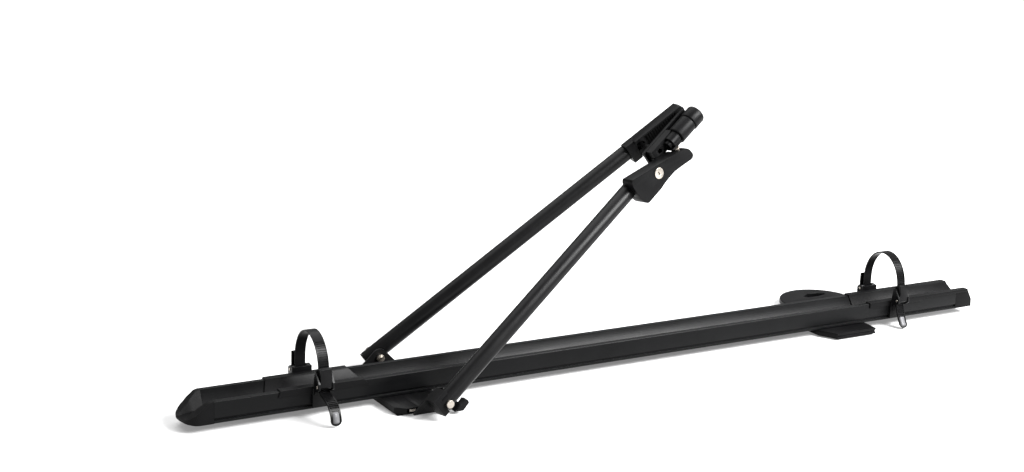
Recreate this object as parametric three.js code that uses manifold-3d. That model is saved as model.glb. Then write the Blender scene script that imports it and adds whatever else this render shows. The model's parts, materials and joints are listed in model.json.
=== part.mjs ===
// Roof-mounted bicycle carrier: a wheel rail with two strap stations, a pair of folding arms that meet in
// a clamp for the bicycle's frame, and two feet that stand on the crossbars of a car.
// Millimetres. +X runs along the rail from its nose to its rear end, +Z is up, and Z = 0 is the plane that
// the feet stand on. Y = 0 is the middle of the rail, and -Y is the side of the buckles and the lock.
// Stations along X are counted from the middle of the rail; the whole carrier is then moved so that its
// origin is the middle of the front foot's seat.
import * as THREE from "three";
import { mergeVertices } from "three/addons/utils/BufferGeometryUtils.js";
import Module from "manifold-3d";

const wasm = await Module();
wasm.setup();

// ---- Driving dimensions -----------------------------------------------------------------------------
const GAP = 0.3; // clearance between pieces that touch

const RAIL_FRONT = -700.5; // where the nose cap meets the rail
const RAIL_REAR = 682; // where the end cap meets the rail
const RAIL_HALF = 31.8; // half of the rail's width
const RAIL_TOP = 44.3;
const RAIL_BOTTOM = 12.1;
const LEDGE = 8.3; // width of each flat top edge
const TROUGH_FLOOR = 20.5;
const TROUGH_FLOOR_HALF = 9;
const NOSE_TIP = -742;
const END_TIP = 720.5;

const PIVOT = new THREE.Vector3(-386.7, 116.6, 27); // far arm's pivot; the near arm's is its mirror image
const ARM_TILT = THREE.MathUtils.degToRad(37.4); // rise of the arms above the rail
const ARM_TOE = THREE.MathUtils.degToRad(9); // how far each arm leans in towards the other
const TUBE_R = 12.6;
const TUBE_BORE = 10.9;
const NEAR_TUBE_END = 457; // distance of each tube's upper end from its pivot
const FAR_TUBE_END = 514;
const LUG_Y = 95.5; // inner face of the lugs that carry the arms
const LUG_THICK = 3;
const BOLT_R = 4;
const BOLT_BORE = BOLT_R + GAP;
const NUT_BORE = BOLT_R + 0.2;
const PIN_SIDES = 16; // facets round a thin pin or its bore

const SEAT_X = -421.5; // middle of the front foot's pad
const FOOT_TOP = 11.8;
const PAD_THICK = 2; // rubber under each foot
const DIAL = { x: 486, y: 104, radius: 70, low: 5, high: 14, spindle: 5, stem: 3 };

const STRAP_WIDE = 16.5;
const STRAP_THICK = 2.2;
const STRAP_HALF = 42.2; // half of the strap loop's width
const FRONT_STRAP_X = -541.5;
const REAR_STRAP_X = 538.4;

// ---- Colours ----------------------------------------------------------------------------------------
const FINISH = {
  aluminium: { color: 0x17181a, roughness: 0.55, metalness: 0.6 },
  plastic: { color: 0x1c1d1f, roughness: 0.6, metalness: 0 },
  steel: { color: 0x202124, roughness: 0.45, metalness: 0.5 },
  rubber: { color: 0x101011, roughness: 0.85, metalness: 0 },
  zinc: { color: 0xc9c9c6, roughness: 0.3, metalness: 1 },
};

// ---- Solids -----------------------------------------------------------------------------------------
function solidOf(geometry) {
  const bare = geometry.clone();
  bare.deleteAttribute("normal");
  bare.deleteAttribute("uv");
  const merged = mergeVertices(bare, 1e-4);
  return new wasm.Manifold(
    new wasm.Mesh({
      numProp: 3,
      vertProperties: new Float32Array(merged.attributes.position.array),
      triVerts: new Uint32Array(merged.index.array),
    }),
  );
}

function geometryOf(solid) {
  const mesh = solid.getMesh();
  const geometry = new THREE.BufferGeometry();
  geometry.setAttribute("position", new THREE.BufferAttribute(new Float32Array(mesh.vertProperties), 3));
  geometry.setIndex(new THREE.BufferAttribute(new Uint32Array(mesh.triVerts), 1));
  const flat = geometry.toNonIndexed();
  flat.computeVertexNormals();
  return flat;
}

const join = (...solids) => solids.reduce((all, next) => all.add(next));
const cut = (body, ...tools) => tools.reduce((left, tool) => left.subtract(tool), body);

// A closed outline, turned anticlockwise so that its holes may run either way round.
function outline(points) {
  const ring = points.map(([u, v]) => new THREE.Vector2(u, v));
  return new THREE.Shape(THREE.ShapeUtils.isClockWise(ring) ? ring.reverse() : ring);
}

function extruded(shape, depth, bevel = 0) {
  return new THREE.ExtrudeGeometry(shape, {
    depth: depth - 2 * bevel,
    steps: 1,
    curveSegments: 10,
    bevelEnabled: bevel > 0,
    bevelThickness: bevel,
    bevelSize: bevel,
    bevelOffset: -bevel,
    bevelSegments: 2,
  }).translate(0, 0, bevel);
}

// Each of these extrudes an outline along one axis, from a low to a high station on it.
function alongX(shape, low, high, bevel = 0) {
  const toX = new THREE.Matrix4().set(0, 0, 1, low, 1, 0, 0, 0, 0, 1, 0, 0, 0, 0, 0, 1);
  return solidOf(extruded(shape, high - low, bevel).applyMatrix4(toX));
}

function alongY(shape, low, high, bevel = 0) {
  const toY = new THREE.Matrix4().set(1, 0, 0, 0, 0, 0, -1, high, 0, 1, 0, 0, 0, 0, 0, 1);
  return solidOf(extruded(shape, high - low, bevel).applyMatrix4(toY));
}

function alongZ(shape, low, high, bevel = 0) {
  return solidOf(extruded(shape, high - low, bevel).translate(0, 0, low));
}

function box(x0, x1, y0, y1, z0, z1) {
  const geometry = new THREE.BoxGeometry(x1 - x0, y1 - y0, z1 - z0);
  return solidOf(geometry.translate((x0 + x1) / 2, (y0 + y1) / 2, (z0 + z1) / 2));
}

// A cylinder between two stations on an axis, through the given point of the other two coordinates.
function rod(axis, radius, low, high, [u, v], sides = 24) {
  const geometry = new THREE.CylinderGeometry(radius, radius, high - low, sides);
  const middle = (low + high) / 2;
  if (axis === "x") geometry.rotateZ(-Math.PI / 2).translate(middle, u, v);
  if (axis === "y") geometry.translate(u, middle, v);
  if (axis === "z") geometry.rotateX(Math.PI / 2).translate(u, v, middle);
  return solidOf(geometry);
}

// A solid of revolution about a line along X at Y = 0, Z = 0. The profile lists [station, radius], and it
// starts and ends on the axis or closes on itself.
function turned(profile, sides = 32) {
  const points = profile.map(([station, radius]) => new THREE.Vector2(radius, station));
  if (THREE.ShapeUtils.isClockWise(points)) points.reverse();
  return solidOf(new THREE.LatheGeometry(points, sides).rotateZ(-Math.PI / 2));
}

// ---- Scene graph ------------------------------------------------------------------------------------
const carrier = new THREE.Group();
carrier.position.x = -SEAT_X;

function armGroup(side) {
  const group = new THREE.Group();
  group.position.set(PIVOT.x, side * PIVOT.y, PIVOT.z);
  group.rotation.set(0, -ARM_TILT, -side * ARM_TOE, "XYZ");
  carrier.add(group);
  return group;
}

// In each arm's group X runs up the tube from the pivot, Y points away from the buckle side and Z is the
// direction square to the tube, upwards.
const nearArm = armGroup(-1);
const farArm = armGroup(1);

function piece(name, finish, solid, parent = carrier) {
  const mesh = new THREE.Mesh(geometryOf(solid), new THREE.MeshStandardMaterial(FINISH[finish]));
  mesh.name = name;
  parent.add(mesh);
  return mesh;
}

const mirrored = (half) => [...half, ...half.slice().reverse().map(([y, z]) => [-y, z])];

// ---- Rail and its caps ------------------------------------------------------------------------------
const LEDGE_EDGE = RAIL_HALF - LEDGE;
const TROUGH_HALF = [
  [LEDGE_EDGE, RAIL_TOP],
  [LEDGE_EDGE - 0.3, RAIL_TOP - 1.7],
  [TROUGH_FLOOR_HALF, TROUGH_FLOOR],
];
const GROOVE = { top: 20.2, bottom: 16.2, depth: 2.8 };
const SLOT = { neck: 5.5, half: 10.5, lip: 14.1, top: 18.9 };

function railShape() {
  const shape = outline(
    mirrored([
      ...TROUGH_HALF.slice().reverse(),
      [RAIL_HALF - 0.8, RAIL_TOP],
      [RAIL_HALF, RAIL_TOP - 0.8],
      [RAIL_HALF, GROOVE.top],
      [RAIL_HALF - GROOVE.depth, GROOVE.top],
      [RAIL_HALF - GROOVE.depth, GROOVE.bottom],
      [RAIL_HALF, GROOVE.bottom],
      [RAIL_HALF, RAIL_BOTTOM + 1],
      [RAIL_HALF - 1, RAIL_BOTTOM],
      [SLOT.neck, RAIL_BOTTOM],
      [SLOT.neck, SLOT.lip],
      [SLOT.half, SLOT.lip],
      [SLOT.half, SLOT.top],
    ]),
  );
  for (const side of [-1, 1]) {
    const chamber = [
      [12.6, 14.2],
      [27, 14.2],
      [27, 22],
      [29.9, 22],
      [29.9, 42.3],
      [25.4, 42.3],
      [12.6, 22.4],
    ];
    shape.holes.push(new THREE.Path(chamber.map(([y, z]) => new THREE.Vector2(side * y, z))));
  }
  return shape;
}

const capShape = () =>
  outline(
    mirrored([
      ...TROUGH_HALF.slice().reverse(),
      [RAIL_HALF - 0.8, RAIL_TOP],
      [RAIL_HALF, RAIL_TOP - 0.8],
      [RAIL_HALF, RAIL_BOTTOM + 1],
      [RAIL_HALF - 1, RAIL_BOTTOM],
    ]),
  );

piece("rail", "aluminium", alongX(railShape(), RAIL_FRONT, RAIL_REAR));

function noseCap() {
  const start = RAIL_FRONT - GAP;
  const block = alongX(capShape(), NOSE_TIP, start);
  const side = outline([
    [start + 1, RAIL_BOTTOM - 1],
    [-725, RAIL_BOTTOM - 1],
    [-725, RAIL_BOTTOM],
    [-737, 16.5],
    [NOSE_TIP, 21.5],
    [NOSE_TIP, 24],
    [-736, 29.5],
    [-724, 38.5],
    [-711, RAIL_TOP + 1],
    [start + 1, RAIL_TOP + 1],
  ]);
  const plan = new THREE.Shape();
  plan.moveTo(start + 1, -RAIL_HALF - 1);
  plan.lineTo(-722, -RAIL_HALF - 1);
  plan.bezierCurveTo(-736, -RAIL_HALF + 1, NOSE_TIP, -20, NOSE_TIP, 0);
  plan.bezierCurveTo(NOSE_TIP, 20, -736, RAIL_HALF - 1, -722, RAIL_HALF + 1);
  plan.lineTo(start + 1, RAIL_HALF + 1);
  const lip = box(NOSE_TIP, NOSE_TIP + 3.5, -TROUGH_FLOOR_HALF - 4, TROUGH_FLOOR_HALF + 4, 13, 24);
  return join(block, lip).intersect(alongY(side, -40, 40)).intersect(alongZ(plan, 0, 60));
}
piece("nose_cap", "plastic", noseCap());

function endCap() {
  const side = outline([
    [RAIL_REAR, RAIL_BOTTOM - 1],
    [END_TIP, RAIL_BOTTOM - 1],
    [END_TIP - 1, 26],
    [708.5, RAIL_TOP + 1],
    [RAIL_REAR, RAIL_TOP + 1],
  ]);
  return alongX(capShape(), RAIL_REAR + GAP, END_TIP).intersect(alongY(side, -40, 40));
}
piece("rear_end_cap", "plastic", endCap());

// ---- Wheel holders: trough liners that wrap over the rail's top edges -------------------------------
const FLANGE_OUT = 33.8; // outer face of a holder's side flanges
const HOLDER_TOP = 46.2;

function holderShape() {
  const inside = [
    [7.75, TROUGH_FLOOR + 2.05],
    [20.9, 43],
    [22, HOLDER_TOP],
  ];
  const outside = [
    [FLANGE_OUT, HOLDER_TOP],
    [FLANGE_OUT, 36.5],
    [RAIL_HALF + 0.35, 36.5],
    [RAIL_HALF + 0.35, RAIL_TOP + 0.35],
    [LEDGE_EDGE - 0.4, RAIL_TOP + 0.35],
    [LEDGE_EDGE - 0.75, RAIL_TOP - 1.75],
    [TROUGH_FLOOR_HALF - 0.2, TROUGH_FLOOR + 0.35],
  ];
  return outline(mirrored([...inside, ...outside]));
}

function wheelHolder(topFront, topRear, lowFront, lowRear) {
  const side = outline([
    [lowFront, TROUGH_FLOOR],
    [lowRear, TROUGH_FLOOR],
    [topRear, HOLDER_TOP + 0.5],
    [topFront, HOLDER_TOP + 0.5],
  ]);
  const length = alongX(holderShape(), Math.min(topFront, lowFront), Math.max(topRear, lowRear));
  return length.intersect(alongY(side, -40, 40));
}

piece("front_wheel_holder", "plastic", wheelHolder(-603, -475, -612, -449));
const STEP = { front: 600, rear: 720, out: 40, low: 30, high: 41 }; // the flanges are shallower behind this
const rearHolder = cut(
  wheelHolder(480, 707, 482, 714),
  box(STEP.front, STEP.rear, RAIL_HALF, STEP.out, STEP.low, STEP.high),
  box(STEP.front, STEP.rear, -STEP.out, -RAIL_HALF, STEP.low, STEP.high),
);
piece("rear_wheel_holder", "plastic", rearHolder);

// ---- Straps, their anchors and buckles --------------------------------------------------------------
const ANCHOR = { y: STRAP_HALF, z: 48.5, pin: 2 };
const BUCKLE = { y: -48.2, z: 49, pin: 2 };
const TOOTH = { pitch: 3.2, height: 0.7, start: 0.62 }; // start: share of the strap without teeth
const NEARBY = 0.004; // share of the strap over which its direction is taken

// The strap's middle line in Y and Z, from its anchor over the wheel and down to the end of its tail.
function strapLine(archFoot, apex, tail) {
  const arch = new THREE.EllipseCurve(0, archFoot, STRAP_HALF, apex - archFoot, 0, Math.PI);
  const points = [new THREE.Vector2(STRAP_HALF, ANCHOR.z + 2), ...arch.getPoints(26)];
  points.push(...new THREE.SplineCurve(tail.map(([y, z]) => new THREE.Vector2(y, z))).getPoints(20));
  const line = new THREE.CurvePath();
  points.slice(1).forEach((point, i) => {
    if (point.distanceTo(points[i]) > 0.01) line.add(new THREE.LineCurve(points[i], point));
  });
  return line;
}

function strap(x, archFoot, apex, tail) {
  const line = strapLine(archFoot, apex, tail);
  const length = line.getLength();
  const steps = Math.round((length * 2) / TOOTH.pitch);
  const inner = [];
  const outer = [];
  for (let i = 0; i <= steps; i++) {
    const share = i / steps;
    const at = line.getPointAt(share);
    const ahead = line.getPointAt(Math.min(1, share + NEARBY));
    ahead.sub(line.getPointAt(Math.max(0, share - NEARBY))).normalize();
    const outward = new THREE.Vector2(ahead.y, -ahead.x);
    const tooth = share > TOOTH.start && i % 2 ? TOOTH.height : 0;
    const reach = STRAP_THICK / 2 + tooth;
    inner.push([at.x - outward.x * (STRAP_THICK / 2), at.y - outward.y * (STRAP_THICK / 2)]);
    outer.push([at.x + outward.x * reach, at.y + outward.y * reach]);
  }
  const outerRun = outer.filter((_, i) => i % 2 === 0 || i / steps > TOOTH.start);
  const innerRun = inner.filter((_, i) => i % 2 === 0 || i === steps);
  const shape = outline([...outerRun, ...innerRun.reverse()]);
  const band = alongX(shape, x - STRAP_WIDE / 2, x + STRAP_WIDE / 2);
  const eye = rod("x", 4.2, x - STRAP_WIDE / 2, x + STRAP_WIDE / 2, [ANCHOR.y, ANCHOR.z]);
  const bore = rod("x", ANCHOR.pin + GAP, x - STRAP_WIDE, x + STRAP_WIDE, [ANCHOR.y, ANCHOR.z], PIN_SIDES);
  return cut(join(band, eye), bore);
}

function strapAnchor(x) {
  const face = FLANGE_OUT + GAP;
  const base = box(x - 15.5, x + 15.5, face, 36.6, 36.5, 46);
  const ear = outline([
    [face, 36.5],
    [49.5, 41],
    [49.5, 51],
    [45, 54],
    [39, 54],
    [face, 47],
  ]);
  const tab = box(x - 10.5, x + 8.5, 47.6, 49.8, 41.5, 74);
  const ears = join(alongX(ear, x - 15.5, x - 9.2), alongX(ear, x + 9.2, x + 15.5));
  const bridge = box(x - 9.5, x + 9.5, 36, 49.5, 37.5, 43);
  const front = box(x - 15.5, x + 15.5, face, 37.5, 40, 53);
  const bore = rod("x", ANCHOR.pin + GAP, x - 20, x + 20, [ANCHOR.y, ANCHOR.z], PIN_SIDES);
  return cut(join(base, ears, tab, bridge, front), bore);
}

function buckleFrame(x) {
  const face = -FLANGE_OUT - GAP;
  const mount = box(x - 14, x + 13, -36.6, face, 15, 44);
  const web = outline([
    [face, 36],
    [face, 44],
    [-38.8, 72],
    [-40.7, 72],
    [-40.7, 36],
  ]);
  const cheek = outline([
    [-38.8, 38],
    [-38.8, 70],
    [-44, 68],
    [-53, 54],
    [-53, 45.5],
    [-49, 42],
  ]);
  const cheeks = join(alongX(cheek, x - 12.4, x - 9.2), alongX(cheek, x + 9.2, x + 12.4));
  const bore = rod("x", BUCKLE.pin + GAP, x - 20, x + 20, [BUCKLE.y, BUCKLE.z], PIN_SIDES);
  return cut(join(mount, alongX(web, x - 12.4, x + 12.4), cheeks), bore);
}

function buckleLever(x) {
  const side = outline([
    [-45.2, 50],
    [-45, 57],
    [-45.6, 74],
    [-47.5, 76.5],
    [-50.5, 74.5],
    [-52.5, 62],
    [-51.6, 50],
  ]);
  const knuckle = rod("x", 3.7, x - 8.8, x + 8.8, [BUCKLE.y, BUCKLE.z]);
  const bore = rod("x", BUCKLE.pin + GAP, x - 20, x + 20, [BUCKLE.y, BUCKLE.z], PIN_SIDES);
  return cut(join(alongX(side, x - 8.8, x + 8.8), knuckle), bore);
}

function strapStation(label, x, archFoot, apex, tail) {
  piece(label + "_strap", "plastic", strap(x, archFoot, apex, tail));
  piece(label + "_strap_anchor", "plastic", strapAnchor(x));
  const anchorPin = rod("x", ANCHOR.pin, x - 16.5, x + 16.5, [ANCHOR.y, ANCHOR.z], PIN_SIDES);
  piece(label + "_anchor_pin", "zinc", anchorPin);
  piece(label + "_buckle_frame", "plastic", buckleFrame(x));
  piece(label + "_buckle_lever", "plastic", buckleLever(x));
  const bucklePin = rod("x", BUCKLE.pin, x - 13.6, x + 13.6, [BUCKLE.y, BUCKLE.z], PIN_SIDES);
  piece(label + "_buckle_pin", "zinc", bucklePin);
}

strapStation("front", FRONT_STRAP_X, 66, 117.5, [
  [-STRAP_HALF, 66],
  [-STRAP_HALF, 46],
  [-46.5, 39],
  [-58, 35.5],
  [-74, 29.5],
  [-84, 17],
  [-87, 2.5],
]);
strapStation("rear", REAR_STRAP_X, 70, 122.5, [
  [-STRAP_HALF, 70],
  [-STRAP_HALF, 44],
  [-44.5, 34],
  [-48.5, 23],
  [-54, 12],
  [-60.5, 2.5],
]);

// ---- Feet -------------------------------------------------------------------------------------------
const FOOT_LOW = PAD_THICK + GAP;
const FRONT_FOOT = { front: -446, rear: -398, half: 86 };
const FRONT_PAD = { front: SEAT_X - 21.5, rear: SEAT_X + 21.5, half: 80 };
const PLATE = { front: -412, rear: -362, low: 8.7, high: 11.7 }; // the arm bracket's flat middle
const FRONT_BOLT_X = -429;
const PLATE_BOLT_X = -387;
const REAR_BOLT_X = 424;

function frontFoot() {
  const plan = new THREE.Shape();
  const { front, rear, half } = FRONT_FOOT;
  plan.moveTo(rear, -half + 10);
  plan.lineTo(rear, half - 10);
  plan.lineTo(rear - 8, half);
  plan.lineTo(front + 14, half);
  plan.lineTo(front, half - 12);
  plan.lineTo(front, -half + 12);
  plan.lineTo(front + 14, -half);
  plan.lineTo(rear - 8, -half);
  const step = box(PLATE.front - GAP, rear + 1, -100, 100, PLATE.low - GAP, FOOT_TOP + 1);
  const recess = box(-431, -412, -half - 1, -half + 7, 4.2, 10.2);
  const hole = rod("z", BOLT_BORE, 0, 20, [FRONT_BOLT_X, 0], PIN_SIDES);
  return cut(alongZ(plan, FOOT_LOW, FOOT_TOP), step, recess, hole);
}
piece("front_foot", "plastic", frontFoot());
piece(
  "front_foot_pad",
  "rubber",
  box(FRONT_PAD.front, FRONT_PAD.rear, -FRONT_PAD.half, FRONT_PAD.half, 0, PAD_THICK),
);
const footBolt = join(box(-426, -416, -84.5, -81.5, 5.2, 9.4), box(-423, -419, -82, -79.4, 6, 8.6));
piece("front_foot_bolt", "zinc", footBolt);

function rearFoot() {
  const block = outline([
    [371, -34],
    [387, -62.5],
    [470.5, -62.5],
    [474, -34],
    [474, 33],
    [371, 33],
  ]);
  const tongue = outline([
    [400, 20],
    [474, 20],
    [508, 84],
    [528, 146],
    [472, 150],
    [438, 62],
  ]);
  const lipGroove = box(360, 480, -63, -60.6, 5.4, 8.4);
  const hole = rod("z", BOLT_BORE, 0, 20, [REAR_BOLT_X, 0], PIN_SIDES);
  const bore = rod("z", DIAL.spindle + GAP, 0, 20, [DIAL.x, DIAL.y]);
  const body = join(alongZ(block, FOOT_LOW, FOOT_TOP), alongZ(tongue, FOOT_LOW, DIAL.low - GAP));
  return cut(body, lipGroove, hole, bore);
}
piece("rear_foot", "plastic", rearFoot());
piece(
  "rear_foot_pad",
  "rubber",
  alongZ(
    outline([
      [378, -30],
      [392, -59],
      [467, -59],
      [470, -30],
      [470, 29],
      [378, 29],
    ]),
    0,
    PAD_THICK,
  ),
);

function tBolt(x, end) {
  const head = box(x - 9, x + 9, -10, 10, SLOT.lip + GAP, SLOT.lip + 3.5);
  return join(head, rod("z", BOLT_R, end, SLOT.lip + 1, [x, 0], PIN_SIDES));
}
piece("front_foot_t_bolt", "zinc", tBolt(FRONT_BOLT_X, 3));
piece("rear_foot_t_bolt", "zinc", tBolt(REAR_BOLT_X, 3));
piece("bracket_t_bolt", "zinc", tBolt(PLATE_BOLT_X, 3.4));
const NUT_R = 7; // middle to corner
const corners = [...Array(6).keys()].map((i) => (i * Math.PI) / 3);
const nut = outline(corners.map((angle) => [NUT_R * Math.cos(angle), NUT_R * Math.sin(angle)]));
piece(
  "bracket_nut",
  "zinc",
  cut(
    alongZ(nut, 3.6, PLATE.low - GAP).translate([PLATE_BOLT_X, 0, 0]),
    rod("z", NUT_BORE, 0, 20, [PLATE_BOLT_X, 0], PIN_SIDES),
  ),
);

// ---- Hand dial of the rear foot ---------------------------------------------------------------------
function dial() {
  const rim = new THREE.Shape();
  rim.absarc(DIAL.x, DIAL.y, DIAL.radius, 0, 2 * Math.PI);
  const fingerOpening = [
    [-12, 29],
    [-6, 22],
    [16, 22],
    [36, 27],
    [39, 33],
    [28, 40],
    [8, 42],
  ];
  rim.holes.push(new THREE.Path(fingerOpening.map(([x, y]) => new THREE.Vector2(DIAL.x + x, DIAL.y + y))));
  const disc = solidOf(
    new THREE.ExtrudeGeometry(rim, {
      depth: DIAL.high - DIAL.low - 2,
      curveSegments: 28,
      bevelThickness: 1,
      bevelSize: 1,
      bevelOffset: -1,
      bevelSegments: 1,
    }).translate(0, 0, DIAL.low + 1),
  );
  return cut(disc, rod("z", DIAL.spindle + GAP, 0, 20, [DIAL.x, DIAL.y]));
}
piece("rear_dial", "plastic", dial());
piece(
  "dial_spindle",
  "steel",
  join(
    rod("z", DIAL.spindle, FOOT_LOW + 0.2, DIAL.high - 0.5, [DIAL.x, DIAL.y]),
    rod("z", DIAL.stem, DIAL.high - 1, DIAL.high + 0.4, [DIAL.x, DIAL.y]),
  ),
);

// ---- Bracket that carries the arms ------------------------------------------------------------------
function armBracket() {
  const plate = box(PLATE.front, PLATE.rear, -LUG_Y - 1, LUG_Y + 1, PLATE.low, PLATE.high);
  const lug = new THREE.Shape();
  lug.moveTo(-426, 4.5);
  lug.lineTo(-352, 4.5);
  lug.lineTo(-349, 8);
  lug.lineTo(PIVOT.x + 10.5, PIVOT.z + 8.5);
  lug.absarc(PIVOT.x, PIVOT.z, 13.5, 0.68, Math.PI - 0.68);
  lug.lineTo(-426, 8);
  const lugs = [-1, 1].map((side) => {
    const inner = side * LUG_Y;
    const outer = side * (LUG_Y + LUG_THICK);
    return alongY(lug, Math.min(inner, outer), Math.max(inner, outer));
  });
  const holes = rod("y", BOLT_BORE, -130, 130, [PIVOT.x, PIVOT.z], 20);
  const tHole = rod("z", BOLT_BORE, 0, 20, [PLATE_BOLT_X, 0], PIN_SIDES);
  const wing = outline([
    [-366, 4.5],
    [-352, 4.5],
    [-343, 15],
    [-344.5, 19],
    [-349, 20],
    [-356, 12],
  ]);
  return cut(join(plate, ...lugs, alongY(wing, -LUG_Y - 14, -LUG_Y - 1)), holes, tHole);
}
piece("arm_bracket", "steel", armBracket());

const BOLT_TIP = LUG_Y - 8.5; // inner end of each pivot bolt
function pivotBolt(side) {
  const inner = side * BOLT_TIP;
  const outer = side * (PIVOT.y + TUBE_R + 3.5);
  const shank = rod("y", BOLT_R, Math.min(inner, outer), Math.max(inner, outer), [PIVOT.x, PIVOT.z], 20);
  const seat = side * (PIVOT.y + TUBE_R + 1.2);
  const top = side * (PIVOT.y + TUBE_R + 5.4);
  return join(shank, rod("y", 5.9, Math.min(seat, top), Math.max(seat, top), [PIVOT.x, PIVOT.z], 28));
}
function pivotNut(side) {
  const face = side * (LUG_Y - GAP);
  const back = side * (LUG_Y - 6.3);
  const ring = rod("y", 5.8, Math.min(face, back), Math.max(face, back), [PIVOT.x, PIVOT.z], 24);
  return cut(ring, rod("y", NUT_BORE, -130, 130, [PIVOT.x, PIVOT.z], 20));
}
for (const [label, side] of [["near", -1], ["far", 1]]) {
  piece(label + "_pivot_bolt", "zinc", pivotBolt(side));
  piece(label + "_pivot_nut", "zinc", pivotNut(side));
}

// ---- Arms -------------------------------------------------------------------------------------------
// A round hole along the carrier's Y, in an arm's own directions, through a point on its middle plane.
function crossHole(side, radius, [x, z] = [0, 0], length = 60) {
  const geometry = new THREE.CylinderGeometry(radius, radius, length, 20).rotateZ(side * ARM_TOE);
  return solidOf(geometry.translate(x, 0, z));
}

function tube(side, low, high) {
  const profile = [
    [low, TUBE_BORE],
    [high, TUBE_BORE],
    [high, TUBE_R],
    [low, TUBE_R],
    [low, TUBE_BORE],
  ];
  return cut(turned(profile, 32), crossHole(side, BOLT_BORE));
}
piece("near_arm_tube", "steel", tube(-1, -8, NEAR_TUBE_END), nearArm);
piece("far_arm_tube", "steel", tube(1, -14.5, FAR_TUBE_END), farArm);

function armShoe() {
  const block = box(-18, 6, -11.5, 11, -11, 18.5);
  const seat = rod("x", TUBE_R + GAP, -8 - GAP, 20, [0, 0], 32);
  const window = box(-8 - GAP, 20, -20, -4, -12.5, 12.5);
  return cut(block, seat, window, crossHole(-1, BOLT_BORE));
}
piece("near_arm_shoe", "plastic", armShoe(), nearArm);

const farPlug = [
  [-17, 0],
  [-17, 11.6],
  [-15, TUBE_R],
  [-14.8, TUBE_R],
  [-14.8, 10.5],
  [-8, 10.5],
  [-8, 0],
];
piece("far_arm_end_plug", "plastic", turned(farPlug, 32), farArm);

// ---- Head on the near arm ---------------------------------------------------------------------------
const LEVER_PIN = { x: 544, y: -12.5, radius: 3, head: 4.4 };
const LEVER = { front: -21, back: 2, wall: 2.5 };
const LOCK = { x: 488, z: -6.8, radius: 8.6 };
const KNOB = { start: 562.3, seam: 594, end: 617 };
const GUIDE = { x: 525, z: 2, radius: 4 }; // the pin across the mouth of the clamp
const NEAR_JAW = { back: 15.9, front: 20.8, low: -3, high: 12.5 };

// The height of the lever's top wall above the tube's middle line, at a station along the arm.
const leverTop = (x) => 21 - 0.31 * (x - 442);
const LEVER_UNDER = 6.2; // how far the head's casting stays below that

function headBlock() {
  const start = NEAR_TUBE_END + GAP;
  const neck = outline([
    [start, -21.5],
    [536, -21.5],
    [536, leverTop(536) - LEVER_UNDER],
    [start, leverTop(start) - LEVER_UNDER],
  ]);
  const jaw = outline([
    [506, -12],
    [540, -12],
    [562, NEAR_JAW.low],
    [604, NEAR_JAW.low + 2],
    [610, NEAR_JAW.low + 6],
    [610, NEAR_JAW.high],
    [506, NEAR_JAW.high],
  ]);
  const shoulder = box(511, KNOB.start - GAP, 3, NEAR_JAW.back + 1, -2, NEAR_JAW.high - 0.6);
  const knuckle = rod("z", 5.4, -23.5, -18, [LEVER_PIN.x, LEVER_PIN.y], 24);
  const lugPlan = outline([
    [522, -11.5],
    [LEVER_PIN.x - 1, LEVER_PIN.y - 5.5],
    [LEVER_PIN.x + 4, LEVER_PIN.y + 3.8],
    [530, 6],
    [522, 6],
  ]);
  const spigot = rod("x", TUBE_BORE - GAP, 425, start + 1, [0, 0], 28);
  const boss = rod("x", 7.2, 538.5, KNOB.start - GAP, [0, 0], 28);
  const bossWeb = box(534, 559, 3, NEAR_JAW.back + 1, -7, 0);
  const root = box(510, 535.5, 5, NEAR_JAW.back + 1, -11.5, -1); // laps 1 mm into the shoulder
  const body = join(
    alongY(neck, -11.5, 11.5),
    alongY(jaw, NEAR_JAW.back, NEAR_JAW.front),
    shoulder,
    root,
    knuckle,
    alongZ(lugPlan, -23.5, -18),
    spigot,
    boss,
    bossWeb,
  );
  const pinHole = rod("z", LEVER_PIN.radius + GAP, -30, -8, [LEVER_PIN.x, LEVER_PIN.y], 20);
  const spindleHole = rod("x", 4.3, 542, 580, [0, 0], 20);
  const guideHole = crossHole(-1, GUIDE.radius + GAP, [GUIDE.x, GUIDE.z]);
  return cut(body, pinHole, spindleHole, guideHole);
}
piece("head_block", "plastic", headBlock(), nearArm);

// A rubber pad along an arm, from a back face to its ribs: the ribs stand on the clamping side.
const RIB = { pitch: 4.4, wide: 2.4, height: 1.4, margin: 1.5 };
function ribbedPad(low, high, back, face, bottom, top, hole) {
  const away = Math.sign(face - back);
  const base = face - away * RIB.height;
  const slab = box(low, high, Math.min(back, base), Math.max(back, base), bottom, top);
  const count = Math.floor((high - low - RIB.wide) / RIB.pitch);
  const [inside, outside] = [base - away, face].sort((a, b) => a - b);
  const ribs = [...Array(count).keys()].map((i) => {
    const start = low + 2 + i * RIB.pitch;
    return box(start, start + RIB.wide, inside, outside, bottom + RIB.margin, top - RIB.margin);
  });
  const pad = join(slab, ...ribs);
  return hole ? cut(pad, hole) : pad;
}
const nearPadHole = crossHole(-1, GUIDE.radius + 0.6, [GUIDE.x, GUIDE.z], 90);
const nearPadEdge = [NEAR_JAW.low + 0.5, NEAR_JAW.high - 0.5];
const nearPad = ribbedPad(508.5, 607, NEAR_JAW.front + GAP, 24, ...nearPadEdge, nearPadHole);
piece("near_jaw_pad", "rubber", nearPad, nearArm);

function guidePin() {
  const run = GUIDE.x * Math.cos(ARM_TOE);
  const x = PIVOT.x + run * Math.cos(ARM_TILT) - GUIDE.z * Math.sin(ARM_TILT);
  const z = PIVOT.z + run * Math.sin(ARM_TILT) + GUIDE.z * Math.cos(ARM_TILT);
  const armY = PIVOT.y - GUIDE.x * Math.sin(ARM_TOE);
  return rod("y", GUIDE.radius, -armY + 14.5, armY - 11, [x, z], 20);
}
piece("jaw_guide_pin", "steel", guidePin());

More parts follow.
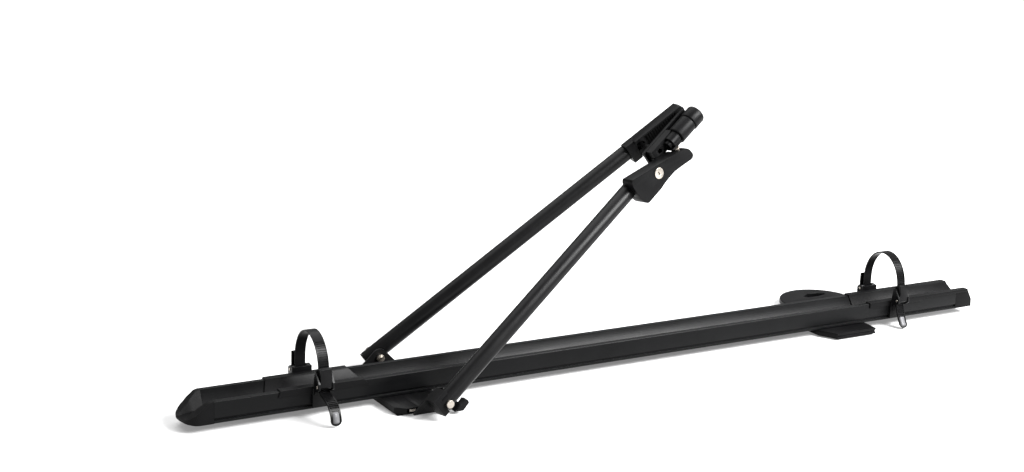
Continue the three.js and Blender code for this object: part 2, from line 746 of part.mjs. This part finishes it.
// The lever's side outline, from above the tube round its narrow end and back along the bottom.
function leverOutline(inset) {
  const shape = new THREE.Shape();
  const i = inset;
  shape.moveTo(443 + i, leverTop(443) - 1.2 * i);
  shape.lineTo(530, leverTop(530) - i);
  shape.quadraticCurveTo(545, leverTop(543) - i, 552 - i, -14 - i);
  shape.quadraticCurveTo(558 - i, -18 - i, 558.5 - i, -30);
  shape.quadraticCurveTo(558 - i, -36 + i, 550, -35.5 + i);
  shape.quadraticCurveTo(532, -30.5 + i, 514, -27 + i);
  shape.quadraticCurveTo(494, -26 + i, 478, -29 + i);
  shape.lineTo(446 + i, -29 + i);
  shape.quadraticCurveTo(439 + i, -26 + i, 437.5 + i, -12);
  shape.lineTo(436.8 + i, 8);
  shape.quadraticCurveTo(437 + i, 19 - i, 443 + i, leverTop(443) - 1.2 * i);
  return shape;
}

// The heel is cut back so that the lever can swing out without meeting the casting behind its pin.
function lever() {
  const shell = alongY(leverOutline(0), LEVER.front, LEVER.back);
  const pocket = alongY(leverOutline(LEVER.wall), LEVER.front + LEVER.wall, LEVER.back + 1);
  const tubeSlot = join(
    rod("x", TUBE_R + 0.7, 430, 450, [0, 0], 32),
    box(430, 450, 0, 10, -TUBE_R - 0.7, TUBE_R + 0.7),
  );
  const pinHole = rod("z", LEVER_PIN.radius + 0.4, -40, 0, [LEVER_PIN.x, LEVER_PIN.y], 20);
  const lockHole = rod("y", LOCK.radius + 0.4, -30, -10, [LOCK.x, LOCK.z], 32);
  const swing = outline([
    [536, -5],
    [549, -5],
    [552, -10],
    [562, -10],
    [562, 4],
    [536, 4],
  ]);
  const heel = alongZ(swing, -45, 5);
  return cut(shell, pocket, tubeSlot, pinHole, lockHole, heel);
}
piece("quick_release_lever", "plastic", lever(), nearArm);

const pinAt = [LEVER_PIN.x, LEVER_PIN.y];
const leverPin = join(
  rod("z", LEVER_PIN.radius, -37, leverTop(LEVER_PIN.x) + 3, pinAt, 20),
  rod("z", LEVER_PIN.head, leverTop(LEVER_PIN.x) + 2.3, leverTop(LEVER_PIN.x) + 4.2, pinAt, 24),
);
piece("lever_pin", "zinc", leverPin, nearArm);

const keyway = box(LOCK.x - 0.7, LOCK.x + 0.7, -24, -19, LOCK.z - 3.2, LOCK.z + 3.2);
const lockBarrel = cut(rod("y", LOCK.radius, -22.2, -13, [LOCK.x, LOCK.z], 32), keyway);
piece("lock_barrel", "zinc", lockBarrel, nearArm);

const knobBody = [
  [KNOB.start, 5],
  [KNOB.start, 13.6],
  [KNOB.start + 1, 14.5],
  [KNOB.seam - 1, 14.5],
  [KNOB.seam, 13.7],
  [KNOB.seam, 5],
  [KNOB.start, 5],
];
piece("knob_body", "plastic", turned(knobBody, 36), nearArm);
const knobCap = [
  [KNOB.seam + GAP, 0],
  [KNOB.seam + GAP, 14.6],
  [KNOB.seam + 1.2, 15.5],
  [KNOB.end - 4, 15.5],
  [KNOB.end - 1.4, 14.4],
  [KNOB.end, 11.6],
  [KNOB.end, 0],
];
piece("knob_cap", "plastic", turned(knobCap, 36), nearArm);
piece("knob_spindle", "zinc", rod("x", 4, 542.5, KNOB.seam - 0.4, [0, 0], 20), nearArm);

// ---- Jaw on the far arm -----------------------------------------------------------------------------
const HINGE = { x: 520.5, y: -3, radius: 5, pin: 2.2, clear: 0.6 };
const JAW = { start: 520.4, low: -17, high: 15.5, back: 2, front: -14.4 };

function farSocket() {
  const ends = outline([
    [JAW.front, JAW.low],
    [5, JAW.low],
    [8, -13],
    [8, 12],
    [JAW.back, JAW.high],
    [JAW.front, JAW.high],
  ]);
  const block = alongX(ends, 504, 519.6);
  const seat = rod("x", TUBE_R + GAP, 502, FAR_TUBE_END + GAP, [0, 0], 32);
  const way = rod("z", HINGE.radius + HINGE.clear, -9, 7, [HINGE.x, HINGE.y], 24);
  const ears = join(
    rod("z", HINGE.radius, JAW.low, -9, [HINGE.x, HINGE.y], 24),
    rod("z", HINGE.radius, 7, JAW.high, [HINGE.x, HINGE.y], 24),
  );
  const bore = rod("z", HINGE.pin + GAP, -30, 30, [HINGE.x, HINGE.y], PIN_SIDES);
  return cut(join(block, ears), seat, way, bore);
}
piece("far_jaw_socket", "plastic", farSocket(), farArm);

function farJaw() {
  const side = outline([
    [JAW.start, JAW.low],
    [560, JAW.low],
    [612, -9],
    [616, -3],
    [616, 8],
    [610, JAW.high],
    [JAW.start, JAW.high],
  ]);
  const web = alongY(side, JAW.front, JAW.back);
  const clearEars = join(
    rod("z", HINGE.radius + HINGE.clear, -30, -8.6, [HINGE.x, HINGE.y], 24),
    rod("z", HINGE.radius + HINGE.clear, 6.6, 30, [HINGE.x, HINGE.y], 24),
  );
  const knuckle = rod("z", HINGE.radius, -8.6, 6.6, [HINGE.x, HINGE.y], 24);
  const wedge = outline([
    [JAW.start - 1, -2],
    [JAW.start, -2],
    [525, 3],
    [JAW.start - 1, 3],
  ]);
  const swing = alongZ(wedge, -30, 30);
  const lips = [
    [JAW.high - 2, JAW.high],
    [JAW.low, JAW.low + 2],
  ].map(([z0, z1]) => box(JAW.start, 616, -19, JAW.front + 1, z0, z1));
  const trimmed = join(...lips).intersect(alongY(side, -30, 10));
  const bore = rod("z", HINGE.pin + GAP, -30, 30, [HINGE.x, HINGE.y], PIN_SIDES);
  const notch = { x: GUIDE.x + 3.4, half: 6.2 };
  const socket = join(
    rod("y", notch.half, -30, -8.6, [notch.x, GUIDE.z], 24),
    box(515, notch.x, -30, -8.6, GUIDE.z - notch.half, GUIDE.z + notch.half),
  );
  const rest = cut(join(web, trimmed), clearEars, socket, swing);
  return cut(join(rest, knuckle), bore);
}
piece("far_jaw", "plastic", farJaw(), farArm);
const farPad = ribbedPad(539, 607, JAW.front - GAP, -18.5, -8, JAW.high - 2.4);
piece("far_jaw_pad", "rubber", farPad, farArm);
const farJawPin = rod("z", HINGE.pin, JAW.low + 0.4, JAW.high - 0.4, [HINGE.x, HINGE.y], PIN_SIDES);
piece("far_jaw_pin", "steel", farJawPin, farArm);

export default carrier;
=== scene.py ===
import json
import math

import bmesh
import bpy
from mathutils import Matrix, Vector


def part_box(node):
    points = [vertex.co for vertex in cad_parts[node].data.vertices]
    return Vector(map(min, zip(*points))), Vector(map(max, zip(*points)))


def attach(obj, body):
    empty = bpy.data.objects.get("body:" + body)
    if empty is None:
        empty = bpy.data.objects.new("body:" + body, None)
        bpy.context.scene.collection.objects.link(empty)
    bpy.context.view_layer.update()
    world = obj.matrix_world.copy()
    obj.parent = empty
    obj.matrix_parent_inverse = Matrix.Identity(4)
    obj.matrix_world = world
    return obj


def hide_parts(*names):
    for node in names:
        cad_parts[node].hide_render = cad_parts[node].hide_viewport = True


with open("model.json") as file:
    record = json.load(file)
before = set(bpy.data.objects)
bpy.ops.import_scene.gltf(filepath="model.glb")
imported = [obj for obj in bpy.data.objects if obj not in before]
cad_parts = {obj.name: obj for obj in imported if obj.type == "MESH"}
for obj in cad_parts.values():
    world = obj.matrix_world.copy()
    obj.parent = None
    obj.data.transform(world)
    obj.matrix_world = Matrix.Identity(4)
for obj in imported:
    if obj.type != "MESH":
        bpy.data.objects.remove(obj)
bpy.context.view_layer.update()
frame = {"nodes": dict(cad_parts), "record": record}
MM = 0.001

bpy.context.scene.view_settings.view_transform = "Standard"


# ---- Materials ---------------------------------------------------------------------------------------
class Nodes:
    """A short way to add shader nodes to one material."""

    def __init__(self, name):
        self.material = bpy.data.materials.new(name)
        self.material.use_nodes = True
        self.tree = self.material.node_tree
        self.shader = self.tree.nodes["Principled BSDF"]
        self.place = self.add("ShaderNodeTexCoord").outputs["Object"]

    def add(self, kind, **settings):
        node = self.tree.nodes.new(kind)
        for key, value in settings.items():
            setattr(node, key, value)
        return node

    def link(self, source, target):
        self.tree.links.new(source, target)

    def stretched(self, scale):
        """The object's own coordinates in metres, times a scale for each axis."""
        mapping = self.add("ShaderNodeMapping")
        mapping.inputs["Scale"].default_value = scale
        self.link(self.place, mapping.inputs["Vector"])
        return mapping.outputs["Vector"]

    def noise(self, scale, detail=2.0, roughness=0.5, place=None):
        node = self.add("ShaderNodeTexNoise")
        node.inputs["Scale"].default_value = scale
        node.inputs["Detail"].default_value = detail
        node.inputs["Roughness"].default_value = roughness
        self.link(place or self.place, node.inputs["Vector"])
        return node.outputs["Fac"]

    def ranged(self, value, low, high, from_low=0.3, from_high=0.7):
        node = self.add("ShaderNodeMapRange")
        ends = {"From Min": from_low, "From Max": from_high, "To Min": low, "To Max": high}
        for socket, number in ends.items():
            node.inputs[socket].default_value = number
        self.link(value, node.inputs["Value"])
        return node.outputs["Result"]

    def math(self, operation, first, second):
        node = self.add("ShaderNodeMath", operation=operation)
        for socket, value in zip(node.inputs, (first, second)):
            self.link(value, socket)
        return node.outputs["Value"]

    def mixed(self, factor, first, second):
        node = self.add("ShaderNodeMix", data_type="RGBA")
        self.link(factor, node.inputs["Factor"])
        for socket, value in zip((node.inputs[6], node.inputs[7]), (first, second)):
            if isinstance(value, tuple):
                socket.default_value = (*value, 1)
            else:
                self.link(value, socket)
        return node.outputs[2]

    def bump(self, height, strength, distance):
        node = self.add("ShaderNodeBump")
        node.inputs["Strength"].default_value = strength
        node.inputs["Distance"].default_value = distance
        self.link(height, node.inputs["Height"])
        return node.outputs["Normal"]

    def edges(self, radius):
        """1 on sharp edges and 0 on flat ground."""
        bevel = self.add("ShaderNodeBevel", samples=4)
        bevel.inputs["Radius"].default_value = radius
        flat = self.add("ShaderNodeNewGeometry").outputs["Normal"]
        dot = self.add("ShaderNodeVectorMath", operation="DOT_PRODUCT")
        self.link(bevel.outputs["Normal"], dot.inputs[0])
        self.link(flat, dot.inputs[1])
        return self.ranged(dot.outputs["Value"], 1.0, 0.0, 0.8, 0.99)


EDGE_HIGHLIGHT = 0.35  # how far the painted highlight on edges goes towards its lighter tone


def black_finish(name, tone, roughness, specular, grain, depth, streaks=None):
    """A black surface: uneven tone, moulded or coated grain, and a painted highlight that makes its edges a
    little lighter in patches.
    """
    made = Nodes(name)
    patches = made.noise(14.0, 4.0, 0.6)
    flecks = made.noise(grain * 0.6, 3.0, 0.7)
    dark = tuple(channel * 0.75 for channel in tone)
    light = tuple(channel * 1.3 for channel in tone)
    colour = made.mixed(made.ranged(patches, 0.0, 1.0), dark, light)
    speck = tuple(min(1.0, channel * 2.0) for channel in tone)
    colour = made.mixed(made.ranged(flecks, 0.0, 0.5, 0.52, 0.75), colour, speck)
    # Painted highlight: edges are lightened in patches, standing in for the light that rounded edges catch.
    edge_highlight = made.math("MULTIPLY", made.edges(0.0009), made.ranged(made.noise(160.0, 3.0), 0.0, EDGE_HIGHLIGHT))
    highlight_tone = tuple(min(1.0, channel * 3.5) for channel in tone)
    colour = made.mixed(edge_highlight, colour, highlight_tone)
    made.link(colour, made.shader.inputs["Base Color"])
    spread = made.ranged(patches, roughness - 0.06, roughness + 0.05)
    if streaks:
        lines = made.noise(1.0, 3.0, 0.6, made.stretched(streaks))
        spread = made.math("ADD", spread, made.ranged(lines, -0.07, 0.07))
    made.link(spread, made.shader.inputs["Roughness"])
    made.shader.inputs["Specular IOR Level"].default_value = specular
    height = made.noise(grain, 4.0, 0.65)
    made.link(made.bump(height, 0.55, depth), made.shader.inputs["Normal"])
    return made.material


def zinc_finish():
    """Bright zinc plate on steel: a faint warm mottling, fine turning marks and a soft gloss."""
    made = Nodes("zinc_plate")
    mottle = made.noise(90.0, 4.0, 0.6)
    colour = made.mixed(made.ranged(mottle, 0.0, 1.0), (0.34, 0.31, 0.27), (0.52, 0.48, 0.43))
    made.link(colour, made.shader.inputs["Base Color"])
    made.shader.inputs["Metallic"].default_value = 1.0
    made.link(made.ranged(mottle, 0.24, 0.4), made.shader.inputs["Roughness"])
    marks = made.noise(1.0, 2.0, 0.5, made.stretched((900.0, 900.0, 6000.0)))
    made.link(made.bump(marks, 0.35, 0.00004), made.shader.inputs["Normal"])
    return made.material


ALONG_RAIL = (5.0, 900.0, 900.0)  # stretches noise into fine streaks along X
MATERIAL = {
    "black_aluminium": black_finish(
        "anodised_black", (0.0028, 0.0029, 0.0031), 0.38, 0.085, 2600.0, 0.00005, streaks=ALONG_RAIL
    ),
    "black_steel": black_finish("powder_coat_black", (0.0036, 0.0036, 0.0038), 0.36, 0.11, 1700.0, 0.00007),
    "black_plastic": black_finish("moulded_black", (0.0025, 0.0025, 0.0027), 0.42, 0.07, 2100.0, 0.00006),
    "strap_plastic": black_finish("strap_black", (0.0026, 0.0026, 0.0028), 0.32, 0.10, 1500.0, 0.00004),
    "black_rubber": black_finish("rubber_black", (0.0022, 0.0022, 0.0022), 0.7, 0.03, 1300.0, 0.00010),
    "zinc_steel": zinc_finish(),
}
# A lighter grey for the pull tab's recess: a painted reflection of the light in a glossy recess.
PAINTED_RECESS_REFLECTION = black_finish("pull_tab_painted_reflection", (0.11, 0.11, 0.115), 0.4, 0.3, 1500.0, 0.00004)
SLOT = {part["node"]: part["material_slot"] for part in frame["record"]["subparts"]}
BEHAVIOUR = frame["record"]["behaviour"]
BODY = {node: body for body, nodes in BEHAVIOUR["bodies"].items() for node in nodes}


# ---- Pieces ------------------------------------------------------------------------------------------
def stand_for(piece, node):
    """The piece takes a CAD node's place, body and finish."""
    piece.data.materials.clear()
    piece.data.materials.append(MATERIAL[SLOT[node]])
    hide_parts(node)
    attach(piece, BODY[node])
    return piece


def shaped(name, bm, bevel, angle=30.0):
    """A mesh object with softly rounded edges."""
    for face in bm.faces:
        face.smooth = True
    mesh = bpy.data.meshes.new(name)
    bm.to_mesh(mesh)
    bm.free()
    piece = bpy.data.objects.new(name, mesh)
    bpy.context.scene.collection.objects.link(piece)
    if bevel:
        edges = piece.modifiers.new("edges", "BEVEL")
        edges.width = bevel
        edges.segments = 3
        edges.limit_method = "ANGLE"
        edges.angle_limit = math.radians(angle)
        edges.harden_normals = True
    return piece


def cad_copy(node):
    """A CAD node's mesh, its triangles merged back into flat faces."""
    bm = bmesh.new()
    bm.from_mesh(frame["nodes"][node].data)
    bmesh.ops.remove_doubles(bm, verts=bm.verts, dist=2e-6)
    bmesh.ops.dissolve_limit(bm, angle_limit=math.radians(0.4), verts=bm.verts, edges=bm.edges)
    return bm


def rounded(node, bevel):
    return stand_for(shaped(node + "_look", cad_copy(node), bevel), node)


def skin(bm, rings):
    """Walls between each ring of corners and the next."""
    for first, second in zip(rings, rings[1:]):
        for k in range(len(first)):
            n = (k + 1) % len(first)
            bm.faces.new((first[k], first[n], second[n], second[k]))


def loft(bm, rings):
    """A closed solid through rings of corners, with an end face on the first and the last."""
    skin(bm, rings)
    bm.faces.new(list(reversed(rings[0])))
    bm.faces.new(rings[-1])
    bmesh.ops.recalc_face_normals(bm, faces=bm.faces)


# How far each piece's edges are rounded, in millimetres, where it isn't PLAIN_BEVEL.
PLAIN_BEVEL = 0.3
BEVEL = {
    "rail": 0.5, "nose_cap": 1.2, "rear_end_cap": 0.7, "front_wheel_holder": 0.5, "rear_wheel_holder": 0.5,
    "front_foot": 1.4, "front_foot_pad": 0.6, "rear_foot": 1.0, "rear_foot_pad": 0.6, "arm_bracket": 0.8,
    "near_arm_shoe": 0.8, "far_arm_end_plug": 0.4, "head_block": 0.8, "near_jaw_pad": 0.35,
    "quick_release_lever": 1.8, "knob_body": 0.5, "knob_cap": 0.6, "far_jaw_socket": 0.9, "far_jaw": 0.8,
    "far_jaw_pad": 0.35, "rear_dial": 0.5, "near_arm_tube": 0.4, "far_arm_tube": 0.4,
}

# ---- Wheel straps ------------------------------------------------------------------------------------
STRAP_THICK = 2.2 * MM
RIM = 1.5 * MM  # plain edge on each side of a strap's teeth
TOOTH_PITCH = 3.2 * MM
TOOTH_DEPTH = 1.4 * MM
PADDLE = 23 * MM  # length of the pull tab at the end of a tail
STEPS_PER_TOOTH = 8
STEP = TOOTH_PITCH / STEPS_PER_TOOTH
ARCH_STEPS = 60
TAIL_STEPS = 8  # between one knot of a tail and the next


def strap_route(end, arch_foot, tail):
    """The strap's middle line as (y, z) points: from its anchor pin over the wheel and down its tail."""
    pin_low, pin_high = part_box(end + "_anchor_pin")
    foot_y, foot_z = ((pin_low + pin_high) / 2).yz
    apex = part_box(end + "_strap")[1].z - STRAP_THICK / 2
    points = [Vector((foot_y, foot_z + 2 * MM))]
    for i in range(ARCH_STEPS + 1):
        angle = math.pi * i / ARCH_STEPS
        points.append(Vector((foot_y * math.cos(angle), arch_foot + (apex - arch_foot) * math.sin(angle))))
    knots = [Vector((y * MM, z * MM)) for y, z in tail]
    knots = [2 * knots[0] - knots[1], *knots, 2 * knots[-1] - knots[-2]]
    for before, first, second, after in zip(knots, knots[1:], knots[2:], knots[3:]):
        for i in range(1, TAIL_STEPS + 1):
            t = i / TAIL_STEPS
            points.append(
                0.5 * (2 * first + (second - before) * t
                       + (2 * before - 5 * first + 4 * second - after) * t ** 2
                       + (3 * first - before - 3 * second + after) * t ** 3)
            )
    return points


def evenly(points, step):
    """Points a fixed step apart along a line, each with the line's direction there."""
    line = []
    left = 0.0
    for first, second in zip(points, points[1:]):
        run = (second - first).length
        while left < run:
            line.append((first.lerp(second, left / run), (second - first).normalized()))
            left += step
        left -= run
    return line


def strap(end, arch_foot, tail, teeth_from):
    """A ratchet strap: plain over the wheel, then cross teeth between two rims, and a rounded pull tab."""
    low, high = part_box(end + "_strap")
    middle = (low.x + high.x) / 2
    half = (high.x - low.x) / 2
    line = evenly(strap_route(end, arch_foot, tail), STEP)
    length = STEP * (len(line) - 1)
    bm = bmesh.new()
    rings = []
    for i, (point, ahead) in enumerate(line):
        run = i * STEP
        to_end = max(length - run, 0.02 * MM)
        wide = half
        if to_end < half:
            wide = half * math.sqrt(1 - (1 - to_end / half) ** 2) + 0.3 * MM
        deep = 0.0
        if run > teeth_from * length and to_end > PADDLE:
            phase = (run % TOOTH_PITCH) / TOOTH_PITCH
            deep = TOOTH_DEPTH if 0.5 <= phase < 0.93 else 0.0
        elif 3 * MM < to_end < PADDLE - 2 * MM:
            deep = 0.6 * MM
        outward = Vector((ahead.y, -ahead.x))
        tab_rim = 1.2 * MM if deep and to_end < PADDLE else 0.0
        inner_wide = max(wide - RIM - tab_rim, 0.1 * MM)
        left = [
            (-wide, -0.5),
            (-wide, 0.32),
            (-wide + 0.25 * MM, 0.5),
            (-inner_wide, 0.5),
            (-inner_wide + 0.2 * MM, None),
        ]
        profile = left + [(-across, level) for across, level in reversed(left)]
        ring = []
        for across, level in profile:
            out = STRAP_THICK / 2 - deep if level is None else level * STRAP_THICK
            spot = point + outward * out
            ring.append(bm.verts.new((middle + across, spot.x, spot.y)))
        rings.append(ring)
    loft(bm, rings)
    piece = shaped(end + "_strap_look", bm, 0)
    sharp = piece.modifiers.new("sharp", "EDGE_SPLIT")
    sharp.split_angle = math.radians(40)
    # The lighter sheet in the pull tab's recess is a painted reflection.
    recess_reflection_sheet(end, line, middle, half)
    return stand_for(piece, end + "_strap")


def recess_reflection_sheet(end, line, middle, half):
    """A lighter sheet on the floor of the recess in the pull tab, inside its raised rim: a painted
    reflection of the light in the glossy recess.
    """
    length = STEP * (len(line) - 1)
    bm = bmesh.new()
    rows = []
    for i, (point, ahead) in enumerate(line):
        to_end = length - i * STEP
        if not 3 * MM < to_end < PADDLE - 3 * MM:
            continue
        nearest = min(to_end - 3 * MM, PADDLE - 3 * MM - to_end) / (3 * MM)
        wide = (half - 3.4 * MM) * math.sqrt(max(0.08, 1 - (1 - min(nearest, 1.0)) ** 2))
        outward = Vector((ahead.y, -ahead.x))
        row = []
        for across, out in ((-wide, 0.15), (-wide, 0.34), (wide, 0.34), (wide, 0.15)):
            spot = point + outward * (out * STRAP_THICK)
            row.append(bm.verts.new((middle + across, spot.x, spot.y)))
        rows.append(row)
    loft(bm, rows)
    reflection_sheet = shaped(end + "_strap_recess_reflection", bm, 0)
    reflection_sheet.data.materials.append(PAINTED_RECESS_REFLECTION)
    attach(reflection_sheet, BODY[end + "_strap"])


# The tails' knots as (y, z), in millimetres.
FRONT_TAIL = [(-42.2, 66), (-42.2, 46), (-46.5, 39), (-58, 35.5), (-74, 29.5), (-84, 17), (-87, 2.5)]
REAR_TAIL = [(-42.2, 70), (-42.2, 44), (-44.5, 34), (-48.5, 23), (-54, 12), (-60.5, 2.5)]
strap("front", 66 * MM, FRONT_TAIL, 0.46)
strap("rear", 70 * MM, REAR_TAIL, 0.48)


# ---- Nose cap ----------------------------------------------------------------------------------------
def eased(points, share):
    """The height at a share of the way along a line of (share, height) points, its corners softened."""
    for (before, low), (after, high) in zip(points, points[1:]):
        if before <= share <= after:
            t = (share - before) / (after - before)
            t = t * t * (3 - 2 * t) * 0.35 + t * 0.65
            return low + (high - low) * t
    return points[-1][1]


def nose_cap():
    """A scoop: the trough's walls fall away to a low rounded lip, so that a tyre can roll in."""
    low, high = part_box("nose_cap")
    back, tip = high.x, low.x
    base = low.z
    top = high.z
    run = back - tip
    widest = high.y
    rim = [
        (0.0, top),
        (0.16, top - 1.5 * MM),
        (0.36, 36 * MM),
        (0.6, 27 * MM),
        (0.84, 20 * MM),
        (1.0, 17.5 * MM),
    ]
    floor = [(0.0, 20.5 * MM), (0.4, 19.5 * MM), (0.8, 16.6 * MM), (1.0, 15.6 * MM)]
    under = [(0.0, base), (0.6, base), (0.85, 13.2 * MM), (1.0, 14.6 * MM)]
    steps = 26
    bm = bmesh.new()
    rings = []
    for i in range(steps + 1):
        share = math.sin(math.pi / 2 * i / steps)
        x = back - share * run
        edge, bed, sole = (eased(line, share) for line in (rim, floor, under))
        half = widest * (1 - max(0.0, (share - 0.35) / 0.65) ** 2.6) ** 0.5 if share < 1 else 0.0
        half = max(half, 7 * MM)
        slope = (edge - bed) / (23.8 * MM)
        inner_low = min(9 * MM, half - 3.5 * MM)
        inner_high = min(inner_low + 14.5 * MM * slope, half - 2.2 * MM)
        edge = max(edge, bed + 1.2 * MM)
        section = [(half, sole), (half, edge), (inner_high, edge), (inner_low, bed)]
        section += [(-y, z) for y, z in reversed(section)]
        rings.append([bm.verts.new((x, y, z)) for y, z in section])
    loft(bm, rings)
    return stand_for(shaped("nose_cap_look", bm, 1.0 * MM, 34), "nose_cap")


nose_cap()


# ---- Casting behind the knob -------------------------------------------------------------------------
KNOB_JOINT = 590 * MM  # how far up the arm the knob's joint stands
# Both pieces' sizes are along the near arm's own directions, from its pivot.
COLLAR_ENDS = (544.5 * MM, 561.9 * MM)
COLLAR_BORE = 4.7 * MM  # radius, clear of the knob's spindle
COLLAR_RADIUS = 10.8 * MM
COLLAR_SIDES = 64
WEB_MIDDLE = Vector((549.5, 0.5, -6.6)) * MM
WEB_SIZE = Vector((24.0, 22.0, 3.2)) * MM


def along_near_arm():
    """The near arm's pivot and its own directions: along the tube, away from the buckle side, and up."""
    joint = {row["name"]: row for row in BEHAVIOUR["joints"]}
    knob, lock = joint["knob_turn"], joint["lock_turn"]
    tube = Vector(knob["axis"]).normalized()
    away = Vector(lock["axis"]).normalized()
    up = tube.cross(away).normalized()
    base = Vector(knob["pos_m"]) - KNOB_JOINT * tube
    return base, tube, away, up


def arm_piece(name, bm, bevel, angle=30.0):
    base, tube, away, up = along_near_arm()
    for vert in bm.verts:
        vert.co = base + vert.co.x * tube + vert.co.y * away + vert.co.z * up
    bmesh.ops.recalc_face_normals(bm, faces=bm.faces)
    piece = shaped(name, bm, bevel, angle)
    piece.data.materials.append(MATERIAL["black_plastic"])
    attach(piece, BODY["head_block"])


def casting():
    """The thick collar that the knob turns against, bored for the knob's spindle, and the web under it."""
    bm = bmesh.new()
    back, front = COLLAR_ENDS
    profile = [(back, COLLAR_BORE), (back, COLLAR_RADIUS), (front, COLLAR_RADIUS), (front, COLLAR_BORE)]
    rings = []
    for i in range(COLLAR_SIDES):
        angle = 2 * math.pi * i / COLLAR_SIDES
        side, over = math.cos(angle), math.sin(angle)
        rings.append([bm.verts.new((x, r * side, r * over)) for x, r in profile])
    skin(bm, rings + rings[:1])
    arm_piece("head_collar", bm, 0.9 * MM)
    bm = bmesh.new()
    for vert in bmesh.ops.create_cube(bm, size=1.0)["verts"]:
        vert.co = WEB_MIDDLE + Vector([share * size for share, size in zip(vert.co, WEB_SIZE)])
    arm_piece("head_web", bm, 0.8 * MM)


casting()

BESPOKE = {"front_strap", "rear_strap", "nose_cap"}
for node in sorted(set(SLOT) - BESPOKE):
    rounded(node, BEVEL.get(node, PLAIN_BEVEL) * MM)


# ---- Camera, floor and light -------------------------------------------------------------------------
CAMERA_PLACE = (-1.07694, -2.16006, 0.86215)
CAMERA_TURN = (30.689, 14.240, 2.087)  # yaw from +Y towards +X, pitch down and roll, in degrees
LENS_MM = 60.74


def place_camera():
    """The camera stands in front of the nose on the buckle side, a little above the rail."""
    yaw, pitch, roll = (math.radians(angle) for angle in CAMERA_TURN)
    reach = math.cos(pitch)
    ahead = Vector((math.sin(yaw) * reach, math.cos(yaw) * reach, -math.sin(pitch)))
    level = Vector((math.cos(yaw), -math.sin(yaw), 0))
    upright = level.cross(ahead)
    right = math.cos(roll) * level + math.sin(roll) * upright
    up = -math.sin(roll) * level + math.cos(roll) * upright
    data = bpy.data.cameras.new("camera")
    data.sensor_width = 36.0
    data.lens = LENS_MM
    data.clip_end = 200.0
    camera = bpy.data.objects.new("camera", data)
    bpy.context.scene.collection.objects.link(camera)
    turn = Matrix((right, up, -ahead)).transposed().to_4x4()
    camera.matrix_world = Matrix.Translation(CAMERA_PLACE) @ turn
    bpy.context.scene.camera = camera


NEAR_GLOW = 0.22  # by the carrier, where its shadow has to show
FAR_GLOW = 0.9
WORLD_GLOW = 0.42


def lay_floor():
    mesh = bpy.data.meshes.new("floor")
    mesh.from_pydata([(-30, -30, 0), (30, -30, 0), (30, 30, 0), (-30, 30, 0)], [], [(0, 1, 2, 3)])
    floor = bpy.data.objects.new("floor", mesh)
    bpy.context.scene.collection.objects.link(floor)
    paint = bpy.data.materials.new("studio_white")
    paint.use_nodes = True
    shader = paint.node_tree.nodes["Principled BSDF"]
    shader.inputs["Base Color"].default_value = (0.5, 0.5, 0.5, 1)
    shader.inputs["Roughness"].default_value = 0.9
    shader.inputs["Specular IOR Level"].default_value = 0.0
    shader.inputs["Emission Color"].default_value = (1, 1, 1, 1)
    # The floor glows more with distance, so it stays white where the lamps don't reach.
    nodes, links = paint.node_tree.nodes, paint.node_tree.links
    place = nodes.new("ShaderNodeTexCoord")
    reach = nodes.new("ShaderNodeVectorMath")
    reach.operation = "DISTANCE"
    reach.inputs[1].default_value = (0.3, 0.0, 0.0)
    glow = nodes.new("ShaderNodeMapRange")
    ends = {"From Min": 0.5, "From Max": 2.6, "To Min": NEAR_GLOW, "To Max": FAR_GLOW}
    for socket, number in ends.items():
        glow.inputs[socket].default_value = number
    links.new(place.outputs["Object"], reach.inputs[0])
    links.new(reach.outputs["Value"], glow.inputs["Value"])
    links.new(glow.outputs["Result"], shader.inputs["Emission Strength"])
    mesh.materials.append(paint)
    floor.location.z = -0.0002


def soft_box(name, place, aim, width, depth, power):
    data = bpy.data.lights.new(name, "AREA")
    data.shape = "RECTANGLE"
    data.size = width
    data.size_y = depth
    data.energy = power
    light = bpy.data.objects.new(name, data)
    light.location = place
    light.rotation_euler = (Vector(aim) - Vector(place)).to_track_quat("-Z", "Y").to_euler()
    bpy.context.scene.collection.objects.link(light)


def light_studio():
    world = bpy.data.worlds.new("studio")
    world.use_nodes = True
    sky = world.node_tree.nodes["Background"]
    sky.inputs["Color"].default_value = (1.0, 1.0, 1.0, 1)
    sky.inputs["Strength"].default_value = WORLD_GLOW
    bpy.context.scene.world = world
    soft_box("overhead", (0.4, 0.9, 2.6), (0.4, 0.0, 0), 4.5, 2.6, 110)
    soft_box("front_right", (1.75, -1.75, 1.95), (0.35, 0, 0.1), 2.0, 1.2, 330)


place_camera()
lay_floor()
light_studio()
